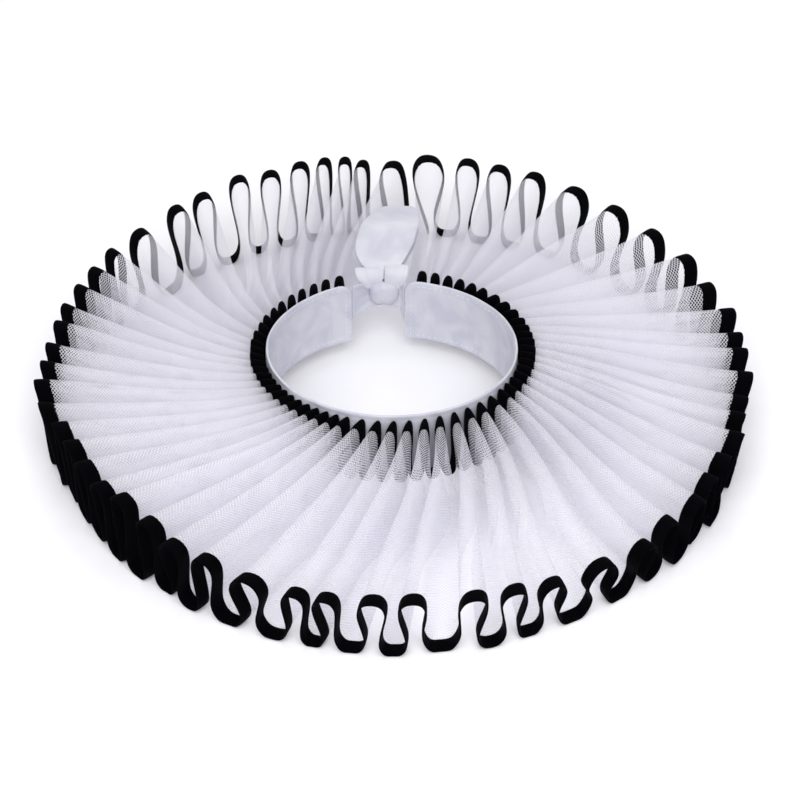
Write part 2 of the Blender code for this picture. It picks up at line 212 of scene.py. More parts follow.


# Polyester satin: smooth floats across a close ground, so a soft sheen that stretches along the weft,
# with small puckers where it is gathered, also painted into its colour as painted light and shade.
# The floats are 0.15 mm, drawn at 0.45 mm.
satin = {
    # light and shade: the two colours of the painted light and shade over the puckers
    "light": "#CBCBD3",
    "shade": "#BCBDC9",
    "floatPitch": 0.00045,
    "puckerSize": 0.015,
}


def satinMaterial():
    material, tree, shader = startMaterial("whitePolyesterSatin", {
        "IOR": 1.54,
        "Specular IOR Level": 0.4,
        "Anisotropic": 0.35,
        "Sheen Weight": 0.05,
        "Sheen Roughness": 0.4,
    })
    place = clothPlace(tree, satin["floatPitch"])
    floats = addNode(tree, "ShaderNodeTexWave", {
        "bands_direction": "Y",
        "Scale": wavePeriod,
        "Distortion": 1.2,
        "Detail": 1.0,
        "Detail Scale": 0.6,
    }, {"Vector": place})
    spot = addNode(tree, "ShaderNodeTexCoord").outputs["Object"]
    pucker = addNode(tree, "ShaderNodeTexNoise", {
        "Scale": 1.0 / satin["puckerSize"], "Detail": 2.0, "Distortion": 0.8,
    }, {"Vector": spot})
    # painted light and shade: the colour goes lighter and darker with the puckers' noise, which also
    # bumps them
    puckerPaintedShade = addNode(tree, "ShaderNodeMapRange", {
        "From Min": 0.35, "From Max": 0.65,
    }, {"Value": pucker.outputs["Fac"]})
    tree.links.new(mixColours(tree, puckerPaintedShade.outputs["Result"], satin["light"], satin["shade"]),
                   shader.inputs["Base Color"])
    rough = addNode(tree, "ShaderNodeMapRange", {
        "To Min": 0.36, "To Max": 0.52,
    }, {"Value": floats.outputs["Fac"]})
    tree.links.new(rough.outputs["Result"], shader.inputs["Roughness"])
    fine = addNode(tree, "ShaderNodeBump", {
        "Strength": 0.18, "Distance": 0.00006,
    }, {"Height": floats.outputs["Fac"]})
    soft = addNode(tree, "ShaderNodeBump", {
        "Strength": 0.35, "Distance": 0.0008,
    }, {"Height": pucker.outputs["Fac"], "Normal": fine.outputs["Normal"]})
    tree.links.new(soft.outputs["Normal"], shader.inputs["Normal"])
    return material


# Polyester sewing thread: two plies twisted, so fine slanting ridges with a slight gloss. The ridges are
# also painted into its colour as stripes of painted light and shade.
sewing = {
    "light": "#F0F0F6",
    "shade": "#C9CAD8",
    "twist": 0.0005,
}


def threadMaterial():
    material, tree, shader = startMaterial("whiteSewingThread", {"IOR": 1.5, "Sheen Weight": 0.15})
    spot = addNode(tree, "ShaderNodeTexCoord").outputs["Object"]
    twist = addNode(tree, "ShaderNodeTexWave", {
        "bands_direction": "DIAGONAL", "Scale": wavePeriod / sewing["twist"],
    }, {"Vector": spot})
    # painted light and shade: the twist's ridges drawn as lighter and darker stripes in the colour
    tree.links.new(mixColours(tree, twist.outputs["Fac"], sewing["shade"], sewing["light"]),
                   shader.inputs["Base Color"])
    rough = addNode(tree, "ShaderNodeMapRange", {
        "To Min": 0.45, "To Max": 0.65,
    }, {"Value": twist.outputs["Fac"]})
    tree.links.new(rough.outputs["Result"], shader.inputs["Roughness"])
    return material


tulleCloth = tulleMaterial()
velvetCloth = velvetMaterial()
satinCloth = satinMaterial()
sewingThread = threadMaterial()
print("cloths made")


def gridSheet(name, columns, rows, place, measure, material):
    # A grid whose points go where place(column, row) says; measure gives their place in the flat cloth.
    sheet = bmesh.new()
    bmesh.ops.create_grid(sheet, x_segments=columns, y_segments=rows, size=0.5)
    cloth = sheet.loops.layers.uv.new("cloth")
    spots = {}
    for vert in sheet.verts:
        spots[vert] = (round((vert.co.x + 0.5) * columns), round((vert.co.y + 0.5) * rows))
    for face in sheet.faces:
        for loop in face.loops:
            loop[cloth].uv = measure(*spots[loop.vert])
    for vert, spot in spots.items():
        vert.co = place(*spot)
    sheet.normal_update()
    return finishPiece(name, sheet, material)


def finishPiece(name, shape, material):
    mesh = bpy.data.meshes.new(name)
    shape.to_mesh(mesh)
    shape.free()
    mesh.materials.append(material)
    mesh.shade_smooth()
    piece = bpy.data.objects.new(name, mesh)
    bpy.context.scene.collection.objects.link(piece)
    return piece


def giveThickness(piece, thickness):
    wall = piece.modifiers.new("clothThickness", "SOLIDIFY")
    wall.thickness = thickness
    wall.offset = 0.0
    soften = piece.modifiers.new("softEdges", "SUBSURF")
    soften.levels = 1
    soften.render_levels = 1


def smoothLine(points, steps):
    # A smooth curve through points, with steps[i] pieces between point i and the next. Its knots are
    # spaced by the root of the distance, so that it has no loops beside the long flanks.
    leastGap = 1e-7
    ends = [2.0 * points[0] - points[1]] + list(points) + [2.0 * points[-1] - points[-2]]
    line = [points[0].copy()]
    for index, count in enumerate(steps):
        a, b, c, d = ends[index:index + 4]
        tA = 0.0
        tB = tA + max((b - a).length, leastGap) ** 0.5
        tC = tB + max((c - b).length, leastGap) ** 0.5
        tD = tC + max((d - c).length, leastGap) ** 0.5
        for step in range(1, count + 1):
            t = tB + (tC - tB) * step / count
            ab = a.lerp(b, (t - tA) / (tB - tA))
            bc = b.lerp(c, (t - tB) / (tC - tB))
            cd = c.lerp(d, (t - tC) / (tD - tC))
            abc = ab.lerp(bc, (t - tA) / (tC - tA))
            bcd = bc.lerp(cd, (t - tB) / (tD - tB))
            line.append(abc.lerp(bcd, (t - tB) / (tC - tB)))
    return line


# The neckband: a stiffened satin strip round the neck, its ends rounded at the top, open at the nape.
neckband = {
    "middle": (-0.0018, -0.0010),
    "halfX": 0.0596,        # inside
    "halfY": 0.0535,
    "wall": 0.0016,
    "top": 0.0450,
    "bottom": 0.0095,
    "corner": 0.0060,
    "start": 6.2,           # degrees from the nape, turning towards +X
    "end": 339.8,
    "columns": 150,
    "endPlaces": (0.0, 0.006, 0.03, 0.1, 0.25, 0.5, 0.75, 1.0),     # columns, as shares of the corner
    "middleRows": 8,        # between the turned edges
    "shownWall": 0.0013,    # thinner than the solid's wall
    "hem": 0.0034,          # width of the turned edge
    "hemRise": 0.00025,
    "hemStep": (0.97, 1.03),        # the two rows that the rise lies between, in hems
    "creaseDepth": 0.0012,
    # share of the depth, waves per metre round the band, slant, waves per metre up it, spot in the noise
    "creases": (
        (1.0, 60.0, 38.0, 55.0, 4.2),
        (0.5, 150.0, -90.0, 70.0, 9.1),
    ),
}


def onOval(middle, halfX, halfY, degrees):
    turn = math.radians(degrees)
    return Vector((middle[0] + halfX * math.sin(turn), middle[1] + halfY * math.cos(turn), 0.0))


# The ruffle: one strip of net, folded into 57 pleats that stand between the neckband and the rim.
ruffle = {
    # degrees from the nape, radius of the crests, height of the crests
    "rimShape": (
        (0.0, 0.1698, 0.0425),
        (6.0, 0.1698, 0.0450),
        (20.0, 0.1702, 0.0455),
        (45.0, 0.1700, 0.0438),
        (60.0, 0.1702, 0.0408),
        (80.0, 0.1712, 0.0400),
        (100.0, 0.1716, 0.0375),
        (120.0, 0.1716, 0.0335),
        (135.0, 0.1714, 0.0290),
        (148.0, 0.1708, 0.0290),
        (162.0, 0.1698, 0.0318),
        (180.0, 0.1696, 0.0340),
        (196.0, 0.1692, 0.0330),
        (206.0, 0.1685, 0.0335),
        (216.0, 0.1675, 0.0365),
        (230.0, 0.1670, 0.0405),
        (248.0, 0.1678, 0.0422),
        (261.0, 0.1732, 0.0425),
        (270.0, 0.1694, 0.0422),
        (285.0, 0.1682, 0.0420),
        (300.0, 0.1685, 0.0430),
        (320.0, 0.1695, 0.0440),
        (335.0, 0.1702, 0.0455),
        (352.0, 0.1700, 0.0448),
        (360.0, 0.1698, 0.0425),
    ),
    "rimMiddle": (-0.00086, 0.00055),
    "troughSetIn": 0.0040,  # how much nearer the middle the troughs' rim is
    "rimShoulder": 1.0,     # drop from a fold's tip to its side, in half widths of the fold
    "sideSetIn": 0.25,      # of the troughs' set-in
    "neckCrestZ": 0.0440,
    "neckTilt": 0.0012,     # the crests' rise at the nape, and their drop at the front
    "neckLean": 0.65,       # how far a pleat's start turns from square to the band towards its rim
    "neckTroughZ": 0.0130,
    "neckShoulder": 0.0030,
    "neckGap": 0.0004,
    "neckEnds": (10.3, 337.0),      # degrees of the strip's two ends
    "rimEnds": (6.7, 363.1),
    "firstCrest": (13.5, 6.2),      # degrees at the neck and at the rim
    # end of each stretch in degrees at the neck and at the rim, and its pleats
    "stretches": (
        (42.0, 44.0, 5),
        (68.5, 79.5, 4),
        (125.5, 138.5, 11),
        (199.0, 216.0, 11),
        (271.5, 299.0, 15),
        (301.5, 336.2, 5),
        (334.0, 359.8, 5),
    ),
    # widths of the pleats in the stretches that are seen best, as shares of their mean
    "seenWidths": {
        0: (0.97, 0.84, 0.85, 1.12, 1.22),
        1: (1.17, 1.02, 0.94, 0.87),
        3: (1.19, 1.30, 0.86, 0.93, 1.22, 0.87, 0.96, 0.73, 1.06, 1.13, 0.81),
        5: (1.08, 1.29, 0.84, 1.02, 0.77),
        6: (1.26, 1.08, 0.78, 0.74, 1.14),
    },
    "rimSide": 0.330,       # half widths of a fold at its sides and across its tip, of the pleat's width
    "rimTip": 0.165,
    "neckSide": 0.320,
    "neckTip": 0.150,
    "endSides": (2.9, 2.1),         # degrees, at the rim of the first and last folds
    "widthUneven": 0.13,
    "leanUneven": 0.06,
    "radiusUneven": 0.0015,
    "crestUneven": 0.0014,
    "troughLift": 0.0016,
    "troughRest": 1.6,      # the larger, the more of the troughs lie right on the table
    "velvetWall": 0.0012,   # of the solids' ribbon, which the troughs' rim stands on
    "ribbonWidth": 0.0080,
    "sag": 0.0012,
    "spacingSeed": 58,
    "foldSeed": 17,
    # finer form, in the scene alone
    "arcSteps": 3,          # points between the lines of a fold
    "flankSteps": 5,        # points down a flank
    "netRows": 26,
    "ribbonRows": 2,
    "rimPile": 0.0010,      # thickness of the velvet at the rim
    "neckPile": 0.0017,     # and at the neck, where the folds press together
    "tucked": 0.0025,       # net inside the ribbon's fold
    # where a fold's lines lie at the very neck edge, as shares of their distance from its middle there:
    # crests close and troughs open, so that the pleats come to points on the band
    "pinch": {
        ("Side", True): 0.34,
        ("Tip", True): 0.25,
        ("Tip", False): 1.6,
        ("Side", False): 1.30,
    },
    "pinchEnd": 1.7,        # of the ribbon's width, where the pleats have their full width again
    "pinchEase": 1.5,
    "bend": 0.0009,         # sideways stray of a pleat half way out
    "ripple": 0.0003,
    "ripplePlace": (45.0, 3.0, 1.7),    # waves per metre along, waves down a pleat, spot in the noise
    "rippleFade": 4.0,      # how soon the ripple grows from a pleat's ends
    "flop": 0.0092,         # how far the foot of a pleat lies over to one side, past the neck ribbon
    "flopEnd": 0.62,        # share of the way out where it stands straight again
    "flare": 0.20,          # most by which a fold turns sideways at the rim, as a slope
    "flareFade": 0.014,     # over this length
    "floorLift": 0.00055,   # half the rim ribbon's thickness and a hair, so that it stands on the table
    "detailSeed": 7,
}


def pleatSpacings():
    draw = random.Random(ruffle["spacingSeed"])
    spacings = []
    neckStart, start = ruffle["firstCrest"]
    for index, (neckEnd, end, pleats) in enumerate(ruffle["stretches"]):
        if index in ruffle["seenWidths"]:
            shares = list(ruffle["seenWidths"][index])
        else:
            shares = [1.0 + ruffle["widthUneven"] * draw.uniform(-1.0, 1.0) for _ in range(pleats)]
        mean = (end - start) / sum(shares)
        spacings += [(share * mean, (neckEnd - neckStart) / pleats) for share in shares]
        neckStart, start = neckEnd, end
    return spacings


def rimShape(degrees):
    turn = degrees % 360.0
    table = ruffle["rimShape"]
    for (start, *here), (end, *after) in zip(table, table[1:]):
        if turn <= end:
            share = (turn - start) / (end - start)
            return [a + (b - a) * share for a, b in zip(here, after)]


def foldList():
    # every crest and trough in turn, as the solids have them
    draw = random.Random(ruffle["foldSeed"])
    spacings = pleatSpacings()
    found = []
    neck, rim = ruffle["firstCrest"]
    last = len(spacings)
    for index in range(last + 1):
        before, neckBefore = spacings[max(index - 1, 0)]
        after, neckAfter = spacings[min(index, last - 1)]
        width = 0.5 * (before + after)
        neckWidth = min(neckBefore, neckAfter)
        lean = ruffle["leanUneven"] * width * draw.uniform(-1.0, 1.0) if 0 < index < last else 0.0
        side = ruffle["rimSide"] * min(before, after, width)
        radius, height = rimShape(rim + lean)
        troughRadius = rimShape(rim + 0.5 * after)[0] - ruffle["troughSetIn"]
        if index in (0, last):
            side = ruffle["endSides"][0 if index == 0 else 1]
        found.append({
            "crest": True,
            "rim": rim + lean,
            "neck": neck,
            "rimSide": side,
            "rimTip": side * ruffle["rimTip"] / ruffle["rimSide"],
            "neckSide": ruffle["neckSide"] * neckWidth,
            "neckTip": ruffle["neckTip"] * neckWidth,
            "radius": radius + ruffle["radiusUneven"] * draw.uniform(-1.0, 1.0),
            "rimZ": height + ruffle["crestUneven"] * draw.uniform(-1.0, 1.0),
        })
        if index == last:
            break
        found.append({
            "crest": False,
            "rim": rim + 0.5 * after,
            "neck": neck + 0.5 * neckAfter,
            "rimSide": ruffle["rimSide"] * after,
            "rimTip": ruffle["rimTip"] * after,
            "neckSide": ruffle["neckSide"] * neckAfter,
            "neckTip": ruffle["neckTip"] * neckAfter,
            "radius": troughRadius + ruffle["radiusUneven"] * draw.uniform(-1.0, 1.0),
            "rimZ": max(0.0, ruffle["troughLift"] * draw.uniform(-ruffle["troughRest"], 1.0)),
        })
        rim += after
        neck += neckAfter
    return found


def pleatColumns():
    # Four lines with a point for each column: neck edge, neck edge pinched, rim, and the middle's stray.
    halfX = neckband["halfX"] + neckband["wall"] + ruffle["neckGap"]
    halfY = neckband["halfY"] + neckband["wall"] + ruffle["neckGap"]
    floorZ = 0.5 * ruffle["velvetWall"]
    draw = random.Random(ruffle["detailSeed"])
    necks, pinched, rims, strays, steps = [], [], [], [], []

    def addLine(neckTurn, pinchTurn, rimTurn, neckZ, rimZ, radius, stray, flare=0.0):
        for turn, places in ((neckTurn, necks), (pinchTurn, pinched)):
            point = onOval(neckband["middle"], halfX, halfY, turn)
            point.z = neckZ
            places.append(point)
        point = onOval(ruffle["rimMiddle"], radius, radius, rimTurn)
        point.z = rimZ
        rims.append(point)
        strays.append(Vector((stray, flare, 0.0)))

    neckStart, neckEnd = ruffle["neckEnds"]
    rimStart, rimEnd = ruffle["rimEnds"]
    first, last = (rimShape(end)[0] - ruffle["troughSetIn"] for end in ruffle["rimEnds"])
    addLine(neckStart, neckStart, rimStart, ruffle["neckTroughZ"], floorZ, first, 0.0)
    for fold in foldList():
        stray = ruffle["bend"] * draw.uniform(-1.0, 1.0)
        flare = ruffle["flare"] * draw.uniform(-1.0, 1.0)
        drop = ruffle["rimShoulder"] * fold["radius"] * math.radians(fold["rimSide"])
        if fold["crest"]:
            tilt = ruffle["neckTilt"] * math.cos(math.radians(fold["neck"]))
            down, neckZ, rimZ = 1.0, ruffle["neckCrestZ"] + tilt, fold["rimZ"]
        else:
            down, neckZ, rimZ = -1.0, ruffle["neckTroughZ"], floorZ + fold["rimZ"]
        for kind, side in (("Side", -1.0), ("Tip", -1.0), ("Tip", 1.0), ("Side", 1.0)):
            shoulder = down if kind == "Side" else 0.0
            reach = side * fold["neck" + kind]
            addLine(
                fold["neck"] + reach,
                fold["neck"] + reach * ruffle["pinch"][kind, fold["crest"]],
                fold["rim"] + side * fold["rim" + kind],
                neckZ - shoulder * ruffle["neckShoulder"],
                rimZ - shoulder * drop,
                fold["radius"] - shoulder * ruffle["sideSetIn"] * ruffle["troughSetIn"],
                stray,
                flare,
            )
            steps.append(ruffle["flankSteps"] if kind == "Side" and side < 0.0 else ruffle["arcSteps"])
    addLine(neckEnd, neckEnd, rimEnd, ruffle["neckTroughZ"], floorZ, last, 0.0)
    steps.append(ruffle["flankSteps"])
    return [smoothLine(line, steps) for line in (necks, pinched, rims, strays)]


neckLine, pinchLine, rimLine, strayLine = pleatColumns()
columnCount = len(neckLine) - 1


def neckOut(point):
    across = (point.x - neckband["middle"][0]) / neckband["halfX"] ** 2
    back = (point.y - neckband["middle"][1]) / neckband["halfY"] ** 2
    return Vector((across, back, 0.0)).normalized()


# Length of the strip from the neck edge to the rim down each column, and the runs along its two edges.
pleatWidth = [(rim - neck).length for neck, rim in zip(neckLine, rimLine)]
alongNet = [0.0]
alongNeck = [0.0]
alongRim = [0.0]
for column in range(1, columnCount + 1):
    alongNeck.append(alongNeck[-1] + (neckLine[column] - neckLine[column - 1]).length)
    alongRim.append(alongRim[-1] + (rimLine[column] - rimLine[column - 1]).length)
    alongNet.append(0.5 * (alongNeck[-1] + alongRim[-1]))


def stripPoint(column, share):
    # A point of the folded strip, from the neck edge at share 0 to the rim at share 1.
    neck, rim = neckLine[column], rimLine[column]
    level = Vector((rim.x - neck.x, rim.y - neck.y, 0.0)).normalized()
    out = neckOut(neck).lerp(level, ruffle["neckLean"]).normalized()
    third = pleatWidth[column] / 3.0
    near = neck + out * third
    far = rim - level * third
    rest = 1.0 - share
    point = (neck * rest ** 3 + near * (3.0 * rest * rest * share)
             + far * (3.0 * rest * share * share) + rim * share ** 3)
    swell = math.sin(math.pi * share)
    point.z -= ruffle["sag"] * swell * (neck.z / ruffle["neckCrestZ"])
    sideways = Vector((-level.y, level.x, 0.0))
    depth = (ruffle["neckCrestZ"] - neck.z) / (ruffle["neckCrestZ"] - ruffle["neckTroughZ"])
    lying = math.sin(math.pi * min(share / ruffle["flopEnd"], 1.0)) ** 2
    fromRim = rest * pleatWidth[column]
    turned = fromRim * math.exp(-fromRim / ruffle["flareFade"])
    point += sideways * (strayLine[column].x * swell + strayLine[column].y * turned
                         + ruffle["flop"] * depth * lying)
    closed = 1.0 - share * pleatWidth[column] / (ruffle["pinchEnd"] * ruffle["ribbonWidth"])
    if closed > 0.0:
        point += (pinchLine[column] - neck) * closed ** ruffle["pinchEase"]
    waves, down, spot = ruffle["ripplePlace"]
    stir = noise.noise(Vector((alongNet[column] * waves, share * down, spot)))
    point += sideways * (ruffle["ripple"] * stir * min(1.0, ruffle["rippleFade"] * swell))
    point.z = max(point.z, ruffle["floorLift"])
    return point


def makeNet():
    rows = ruffle["netRows"]
    tucked = ruffle["ribbonWidth"] - ruffle["tucked"]

    def share(column, row):
        first = tucked / pleatWidth[column]
        return first + (1.0 - 2.0 * first) * row / rows

    return gridSheet(
        "ruffleNet", columnCount, rows,
        lambda column, row: stripPoint(column, share(column, row)),
        lambda column, row: (alongNet[column], share(column, row) * pleatWidth[column]),
        tulleCloth,
    )


def makeRibbon(name, along, thickness, atRim):
    rows = ruffle["ribbonRows"]
    width = ruffle["ribbonWidth"]

    def share(column, row):
        part = width * row / rows / pleatWidth[column]
        return 1.0 - part if atRim else part

    ribbon = gridSheet(
        name, columnCount, rows,
        lambda column, row: stripPoint(column, share(column, row)),
        lambda column, row: (along[column], width * row / rows),
        velvetCloth,
    )
    giveThickness(ribbon, thickness)
    return ribbon


net = makeNet()
rimRibbon = makeRibbon("rimRibbon", alongRim, ruffle["rimPile"], True)
neckRibbon = makeRibbon("neckRibbon", alongNeck, ruffle["neckPile"], False)
print("ruffle made:", columnCount, "columns; rim run", round(alongRim[-1], 3),
      "neck run", round(alongNeck[-1], 3))


def bandPoint(degrees, share, out=0.0):
    # A point of the band's middle surface, or out from it, with soft creases and turned edges.
    halfX = neckband["halfX"] + 0.5 * neckband["wall"]
    halfY = neckband["halfY"] + 0.5 * neckband["wall"]
    turnPerMetre = math.degrees(1.0 / (0.5 * (halfX + halfY)))
    fromEnd = min(degrees - neckband["start"], neckband["end"] - degrees) / turnPerMetre
    corner = neckband["corner"]
    cut = corner * (1.0 - math.sqrt(max(0.0, 1.0 - (1.0 - min(fromEnd / corner, 1.0)) ** 2)))
    top = neckband["top"] - cut
    point = onOval(neckband["middle"], halfX, halfY, degrees)
    point.z = neckband["bottom"] + (top - neckband["bottom"]) * share
    away = neckOut(point)
    fromEdge = min(fromEnd, point.z - neckband["bottom"], top - point.z)
    inside = max(0.0, min(1.0, fromEdge / neckband["hem"]))
    run = math.radians(degrees) * 0.5 * (halfX + halfY)
    crease = 0.0
    for part, around, slant, up, spot in neckband["creases"]:
        crease += part * noise.noise(Vector((run * around + point.z * slant, point.z * up, spot)))
    step = neckband["hemRise"] * (1.0 if fromEdge < neckband["hem"] else 0.0)
    return point + away * (out - step + neckband["creaseDepth"] * crease * inside)


def makeNeckband():
    span = neckband["end"] - neckband["start"]
    radius = 0.5 * (neckband["halfX"] + neckband["halfY"])
    endPlaces = neckband["endPlaces"]
    corner = math.degrees(neckband["corner"] / radius)
    turns = [neckband["start"] + corner * place for place in endPlaces]
    inner = neckband["columns"] - 2 * len(endPlaces) + 2
    turns += [turns[-1] + (span - 2.0 * corner) * step / inner for step in range(1, inner)]
    turns += [neckband["end"] - corner * place for place in reversed(endPlaces)]
    height = neckband["top"] - neckband["bottom"]
    edge = neckband["hem"] / height
    before, after = neckband["hemStep"]
    hemShares = [0.0, 0.5 * edge, before * edge, after * edge]
    middle = 1.0 - 2.0 * after * edge
    middleRows = neckband["middleRows"]
    shares = hemShares + [after * edge + middle * step / middleRows for step in range(1, middleRows)]
    shares += [1.0 - share for share in reversed(hemShares)]
    band = gridSheet(
        "neckbandSatin", len(turns) - 1, len(shares) - 1,
        lambda column, row: bandPoint(turns[column], shares[row]),
        lambda column, row: (math.radians(turns[column]) * radius, shares[row] * height),
        satinCloth,
    )
    giveThickness(band, neckband["shownWall"])
    return band


# Rows of lockstitch that hold the turned edges of the neckband.
bandStitch = {
    "length": 0.0021,
    "gap": 0.0008,
    "width": 0.00034,
    "height": 0.00022,
    "inset": 0.0027,
    "clear": 2.4,           # insets between a long row's end and the band's end
    "face": -0.00066,       # from the band's middle surface to its inside
    "rings": 4,
    "sides": 6,
}


def makeBandStitches():
    rows = bmesh.new()
    radius = 0.5 * (neckband["halfX"] + neckband["halfY"])
    pitch = math.degrees((bandStitch["length"] + bandStitch["gap"]) / radius)
    height = neckband["top"] - neckband["bottom"]
    edge = bandStitch["inset"] / height
    margin = math.degrees(bandStitch["inset"] / radius)
    clear, face = bandStitch["clear"], bandStitch["face"]

    def addStitch(start, end):
        middle = 0.5 * (start + end)
        made = bmesh.ops.create_uvsphere(
            rows, u_segments=bandStitch["sides"], v_segments=bandStitch["rings"], radius=0.5,
        )["verts"]
        along = (end - start).normalized()
        away = neckOut(middle)
        across = along.cross(away)
        for vert in made:
            x, y, z = vert.co
            vert.co = (middle + along * (z * bandStitch["length"]) + across * (x * bandStitch["width"])
                       + away * (y * bandStitch["height"]))

    half = 0.5 * math.degrees(bandStitch["length"] / radius)
    turn = neckband["start"] + clear * margin
    while turn < neckband["end"] - clear * margin:
        for share in (edge, 1.0 - edge):
            addStitch(bandPoint(turn - half, share, face), bandPoint(turn + half, share, face))
        turn += pitch
    for turn in (neckband["start"] + margin, neckband["end"] - margin):
        place = bandStitch["inset"]
        while place < height - clear * bandStitch["inset"]:
            addStitch(bandPoint(turn, place / height, face),
                      bandPoint(turn, (place + bandStitch["length"]) / height, face))
            place += bandStitch["length"] + bandStitch["gap"]
    return finishPiece("neckbandStitches", rows, sewingThread)


band = makeNeckband()
bandStitches = makeBandStitches()
print("neckband made")


# The bow: satin ribbon tied once at the nape. Each row of a table is a station along the ribbon.
# Bow pieces that lie back over the pleats: distance back (Y), middle (X), half width, height (Z), rise.
bow = {
    "knotMiddle": (-0.0060, 0.0535, 0.0372),
    "knotHalf": (0.0074, 0.0048, 0.0066),
    "wall": 0.0007,
    "columns": 16,
    "steps": 5,
    "gather": 0.00045,      # depth of the small folds that run out of the knot
    "gatherFolds": 3.5,
    "gatherShift": 0.7,
    "gatherFade": 0.009,
    "uneven": 0.0005,
    "unevenAlong": 90.0,    # waves per metre
    "unevenAcross": 1.3,    # waves over half the width
    "loop": (
        (0.0565, -0.0068, 0.0044, 0.0437, 0.0000),
        (0.0592, -0.0070, 0.0086, 0.0458, 0.0002),
        (0.0640, -0.0070, 0.0124, 0.0490, 0.0005),
        (0.0720, -0.0055, 0.0144, 0.0506, 0.0010),
        (0.0860, -0.0030, 0.0145, 0.0506, 0.0010),
        (0.0990, 0.0000, 0.0110, 0.0504, 0.0006),
        (0.1050, 0.0008, 0.0080, 0.0506, 0.0004),
        (0.1072, 0.0010, 0.0072, 0.0522, 0.0004),
        (0.1060, 0.0010, 0.0078, 0.0540, 0.0006),
        (0.0990, 0.0000, 0.0115, 0.0554, 0.0012),
        (0.0860, -0.0030, 0.0150, 0.0566, 0.0018),
        (0.0720, -0.0055, 0.0150, 0.0560, 0.0020),
        (0.0640, -0.0070, 0.0134, 0.0538, 0.0012),
        (0.0590, -0.0070, 0.0104, 0.0508, 0.0005),
        (0.0560, -0.0066, 0.0062, 0.0477, 0.0002),
        (0.0537, -0.0065, 0.0032, 0.0453, 0.0000),
    ),
    "tail": (
        (0.0592, -0.0095, 0.0036, 0.0372, 0.0000),
        (0.0597, -0.0100, 0.0044, 0.0405, 0.0000),
        (0.0614, -0.0110, 0.0058, 0.0438, 0.0002),
        (0.0650, -0.0125, 0.0074, 0.0466, 0.0003),
        (0.0720, -0.0135, 0.0088, 0.0480, 0.0003),
        (0.0790, -0.0125, 0.0090, 0.0482, 0.0002),
        (0.0890, -0.0115, 0.0092, 0.0480, 0.0001),
    ),
    "foldLeft": (
        (0.0526, -0.0112, 0.0030, 0.0400, 0.0000),
        (0.0527, -0.0120, 0.0046, 0.0422, 0.0001),
        (0.0531, -0.0127, 0.0060, 0.0446, 0.0002),
        (0.0543, -0.0131, 0.0070, 0.0468, 0.0003),
        (0.0558, -0.0133, 0.0074, 0.0485, 0.0004),
        (0.0574, -0.0134, 0.0073, 0.0495, 0.0004),
    ),
    "foldRight": (
        (0.0526, -0.0018, 0.0034, 0.0400, 0.0000),
        (0.0527, -0.0010, 0.0046, 0.0424, 0.0001),
        (0.0530, -0.0004, 0.0054, 0.0450, 0.0002),
        (0.0542, 0.0001, 0.0058, 0.0476, 0.0003),
        (0.0560, 0.0003, 0.0060, 0.0495, 0.0003),
        (0.0580, 0.0003, 0.0060, 0.0507, 0.0003),
    ),
    # ties: share of the way to the knot, half height, height of the middle, bulge to the back
    "tieLeft": (
        (0.00, 0.0100, 0.0335, 0.0000),
        (0.35, 0.0097, 0.0340, 0.0012),
        (0.70, 0.0088, 0.0352, 0.0016),
        (1.00, 0.0080, 0.0362, 0.0012),
    ),
    "tieRight": (
        (0.00, 0.0112, 0.0315, 0.0000),
        (0.35, 0.0104, 0.0327, 0.0010),
        (0.70, 0.0092, 0.0345, 0.0014),
        (1.00, 0.0080, 0.0360, 0.0010),
    ),
    "tieGap": 0.0003,
    "knotShare": 0.8,       # of a tie's width, what is left inside the knot
}


def ribbonSheet(name, stations, wayAcross, wayUp, gatherEnd):
    # A ribbon through stations of (middle, half width, rise); wayAcross and wayUp are fixed directions.
    steps = [bow["steps"]] * (len(stations) - 1)
    middles = smoothLine([Vector(middle) for middle, _, _ in stations], steps)
    sizes = smoothLine([Vector((half, rise, 0.0)) for _, half, rise in stations], steps)
    along = [0.0]
    for before, after in zip(middles, middles[1:]):
        along.append(along[-1] + (after - before).length)
    columns = bow["columns"]

    def place(column, row):
        across = 2.0 * column / columns - 1.0
        half, rise, _ = sizes[row]
        fromEnds = {"first": along[row], "last": along[-1] - along[row]}
        fromEnds["both"] = min(fromEnds.values())
        fade = math.exp(-fromEnds[gatherEnd] / bow["gatherFade"])
        wave = math.cos(bow["gatherFolds"] * math.pi * across + bow["gatherShift"])
        # the name's length gives each ribbon its own place in the noise
        spot = Vector((along[row] * bow["unevenAlong"], across * bow["unevenAcross"], len(name)))
        up = rise * (1.0 - across ** 2) + bow["gather"] * fade * wave
        up += bow["uneven"] * noise.noise(spot)
        return middles[row] + wayAcross * (half * across) + wayUp * up

    sheet = gridSheet(
        name, columns, len(middles) - 1, place,
        lambda column, row: (along[row], sizes[row].x * 2.0 * column / columns),
        satinCloth,
    )
    giveThickness(sheet, bow["wall"])
    return sheet, along[-1], 2.0 * sum(size.x for size in sizes) / len(sizes)


def makeBowPiece(name, key, gatherEnd):
    stations = [((middle, back, height), half, rise) for back, middle, half, height, rise in bow[key]]
    return ribbonSheet(name, stations, Vector((1.0, 0.0, 0.0)), Vector((0.0, 0.0, 1.0)), gatherEnd)


